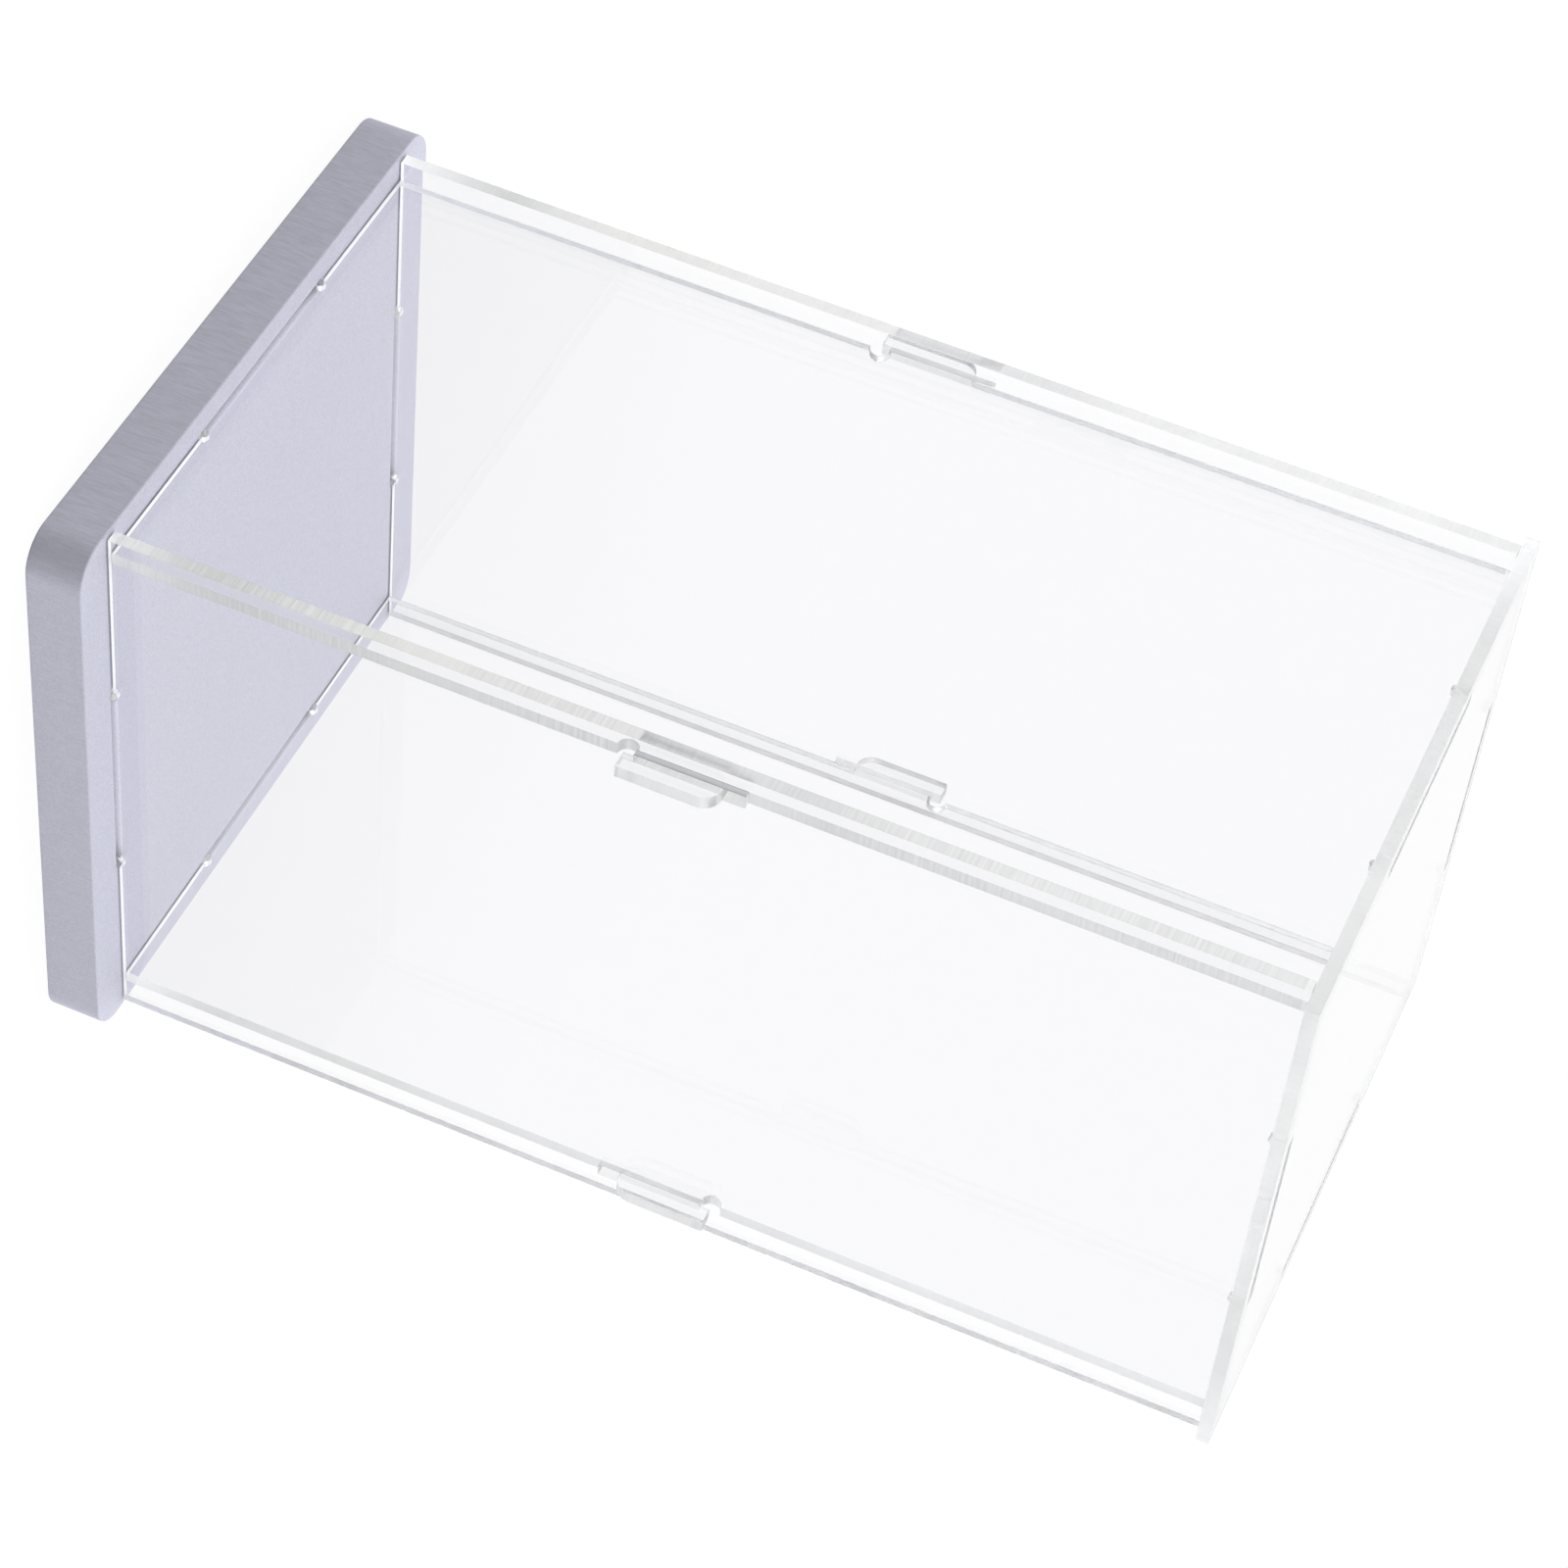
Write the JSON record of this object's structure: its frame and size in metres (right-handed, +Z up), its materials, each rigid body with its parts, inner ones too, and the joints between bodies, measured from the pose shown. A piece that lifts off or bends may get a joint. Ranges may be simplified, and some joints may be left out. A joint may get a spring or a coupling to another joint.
{
  "type": "figure display case",
  "caption": "Upright clear display case for a collectible figure: hooked-together sheet walls and a slotted top plate on a grey slab base, put together without glue.",
  "frame": {"origin": "centre of the base's underside", "axes": "+Z up through the top plate, -Y towards the front wide wall, -X towards the narrow wall whose hooks point down"},
  "size_m": [0.0966, 0.102, 0.1783],
  "materials": {
    "slab": "satin grey with a faint lilac cast and fine machining lines on the sides",
    "clear_sheet": "clear polished faces with a faint cool tint, frosted cut edges"
  },
  "bodies": {
    "base": {"base": "slab"},
    "walls": {"front_panel": "clear_sheet", "back_panel": "clear_sheet", "left_panel": "clear_sheet", "right_panel": "clear_sheet"},
    "top": {"top_panel": "clear_sheet"}
  },
  "joints": [
    {"name": "cover_lift", "type": "slide", "parent": "base", "child": "walls", "axis": [0, 0, 1], "range_m": [0, 0.2]},
    {"name": "top_lift", "type": "slide", "parent": "walls", "child": "top", "axis": [0, 0, 1], "range_m": [0, 0.06]}
  ]
}
